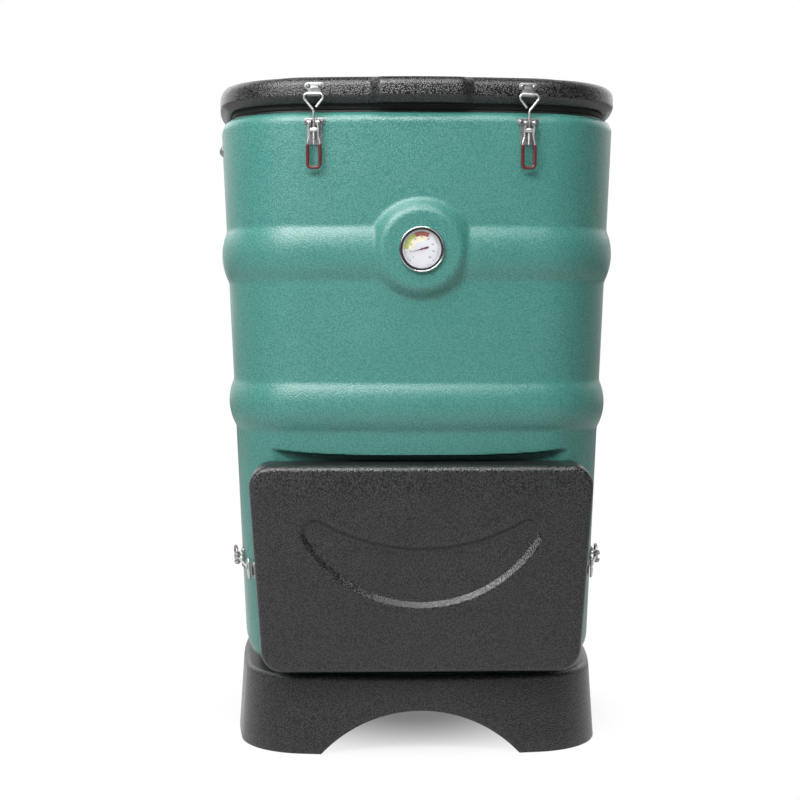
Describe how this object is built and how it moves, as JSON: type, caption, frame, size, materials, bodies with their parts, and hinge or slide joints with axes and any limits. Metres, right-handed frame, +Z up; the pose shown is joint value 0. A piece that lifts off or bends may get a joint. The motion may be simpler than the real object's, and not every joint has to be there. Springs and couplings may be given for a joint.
{
  "type": "insulated compost bin",
  "caption": "Tall insulated garden compost bin with a hinged latched lid, a lift-off front hatch, a dial thermometer and an arched base stand.",
  "frame": {"origin": "on the floor, under the middle of the bin", "axes": "+Z up; the hatch and the thermometer face -Y; +X to the right of someone facing the front from outside"},
  "size_m": [0.568, 0.5875, 0.9152],
  "materials": {
    "green_moulded": "pebbled semi-gloss moulded polyethylene",
    "black_moulded": "pebbled satin moulded polyethylene",
    "dark_liner": "smooth satin polyethylene",
    "foam": "closed-cell polyurethane foam",
    "seal_rubber": "matte foam rubber",
    "stainless": "bright stainless wire and sheet",
    "zinc_steel": "zinc plated",
    "bezel_steel": "polished",
    "case_black": "satin black",
    "dial_white": "matte printed",
    "needle_black": "satin",
    "clear_glass": "clear flat",
    "red_grip": "dipped vinyl"
  },
  "bodies": {
    "bin": {"base_stand": "black_moulded", "base_bolts": "zinc_steel", "outer_shell": "green_moulded", "wall_insulation": "foam", "inner_liner": "dark_liner", "floor_grate": "dark_liner", "air_inlet_tube": "dark_liner", "air_inlet_mesh": "stainless", "hatch_collar": "dark_liner", "foam_port_plug": "stainless", "hinge_body_leaves": "stainless", "hinge_pins": "stainless", "hinge_body_screws": "stainless", "thermometer_case": "case_black", "thermometer_dial": "dial_white", "thermometer_glass": "clear_glass", "thermometer_bezel": "bezel_steel", "thermometer_stem": "bezel_steel", "thermometer_nut": "bezel_steel", "bracket_screws": "stainless", "lid_latch_left_bracket": "stainless", "lid_latch_right_bracket": "stainless", "hatch_latch_left_bracket": "stainless", "hatch_latch_right_bracket": "stainless"},
    "lid": {"lid_shell": "black_moulded", "lid_insulation": "foam", "lid_pan": "dark_liner", "lid_seal": "seal_rubber", "vent_ring": "dark_liner", "hinge_lid_leaves": "stainless", "hinge_lid_screws": "stainless", "lid_keepers": "stainless", "lid_keeper_screws": "stainless"},
    "vent_shutter": {"vent_shutter": "black_moulded"},
    "hatch": {"hatch_shell": "black_moulded", "hatch_insulation": "foam", "hatch_back": "dark_liner", "hatch_seal": "seal_rubber", "hatch_keepers": "stainless", "hatch_keeper_screws": "stainless"},
    "needle": {"thermometer_needle": "needle_black"},
    "lid_latch_left_lever": {"lid_latch_left_lever": "stainless", "lid_latch_left_grip": "red_grip"},
    "lid_latch_left_bail": {"lid_latch_left_bail": "stainless", "lid_latch_left_trunnion": "stainless"},
    "lid_latch_right_lever": {"lid_latch_right_lever": "stainless", "lid_latch_right_grip": "red_grip"},
    "lid_latch_right_bail": {"lid_latch_right_bail": "stainless", "lid_latch_right_trunnion": "stainless"},
    "hatch_latch_left_lever": {"hatch_latch_left_lever": "stainless", "hatch_latch_left_grip": "red_grip"},
    "hatch_latch_left_bail": {"hatch_latch_left_bail": "stainless", "hatch_latch_left_trunnion": "stainless"},
    "hatch_latch_right_lever": {"hatch_latch_right_lever": "stainless", "hatch_latch_right_grip": "red_grip"},
    "hatch_latch_right_bail": {"hatch_latch_right_bail": "stainless", "hatch_latch_right_trunnion": "stainless"}
  },
  "joints": [
    {"name": "lid_hinge", "type": "hinge", "parent": "bin", "child": "lid", "pos_m": [0, 0.2865, 0.862], "axis": [-1, 0, 0], "range_deg": [0, 105]},
    {"name": "vent_turn", "type": "hinge", "parent": "lid", "child": "vent_shutter", "pos_m": [0, 0, 0.9072], "axis": [0, 0, 1], "range_deg": [0, 30]},
    {"name": "hatch_lift_off", "type": "slide", "parent": "bin", "child": "hatch", "axis": [0, -0.9988, -0.0497], "range_m": [0, 0.3]},
    {"name": "needle_turn", "type": "hinge", "parent": "bin", "child": "needle", "pos_m": [0, -0.28642, 0.67435], "axis": [0, -0.9988, -0.0497], "range_deg": [-240, 30]},
    {"name": "lid_latch_left_lever_turn", "type": "hinge", "parent": "bin", "child": "lid_latch_left_lever", "pos_m": [-0.14227, -0.28278, 0.84053], "axis": [-0.993, 0.1178, 0], "range_deg": [0, 150]},
    {"name": "lid_latch_left_bail_turn", "type": "hinge", "parent": "lid_latch_left_lever", "child": "lid_latch_left_bail", "pos_m": [-0.14209, -0.28133, 0.83139], "axis": [-0.993, 0.1178, 0], "range_deg": [-150, 0]},
    {"name": "lid_latch_right_lever_turn", "type": "hinge", "parent": "bin", "child": "lid_latch_right_lever", "pos_m": [0.14227, -0.28278, 0.84053], "axis": [-0.993, -0.1178, 0], "range_deg": [0, 150]},
    {"name": "lid_latch_right_bail_turn", "type": "hinge", "parent": "lid_latch_right_lever", "child": "lid_latch_right_bail", "pos_m": [0.14209, -0.28133, 0.83139], "axis": [-0.993, -0.1178, 0], "range_deg": [-150, 0]},
    {"name": "hatch_latch_left_lever_turn", "type": "hinge", "parent": "bin", "child": "hatch_latch_left_lever", "pos_m": [-0.25201, -0.15117, 0.24914], "axis": [-0.0493, -0.0064, 0.9988], "range_deg": [0, 150]},
    {"name": "hatch_latch_left_bail_turn", "type": "hinge", "parent": "hatch_latch_left_lever", "child": "hatch_latch_left_bail", "pos_m": [-0.2522, -0.14192, 0.24919], "axis": [-0.0493, -0.0064, 0.9988], "range_deg": [-150, 0]},
    {"name": "hatch_latch_right_lever_turn", "type": "hinge", "parent": "bin", "child": "hatch_latch_right_lever", "pos_m": [0.25201, -0.15117, 0.24914], "axis": [-0.0493, 0.0064, -0.9988], "range_deg": [0, 150]},
    {"name": "hatch_latch_right_bail_turn", "type": "hinge", "parent": "hatch_latch_right_lever", "child": "hatch_latch_right_bail", "pos_m": [0.2522, -0.14192, 0.24919], "axis": [-0.0493, 0.0064, -0.9988], "range_deg": [-150, 0]}
  ],
  "couplings": [
    {"joint": "lid_latch_left_bail_turn", "follows": "lid_latch_left_lever_turn", "ratio": -1},
    {"joint": "lid_latch_right_bail_turn", "follows": "lid_latch_right_lever_turn", "ratio": -1},
    {"joint": "hatch_latch_left_bail_turn", "follows": "hatch_latch_left_lever_turn", "ratio": -1},
    {"joint": "hatch_latch_right_bail_turn", "follows": "hatch_latch_right_lever_turn", "ratio": -1}
  ]
}
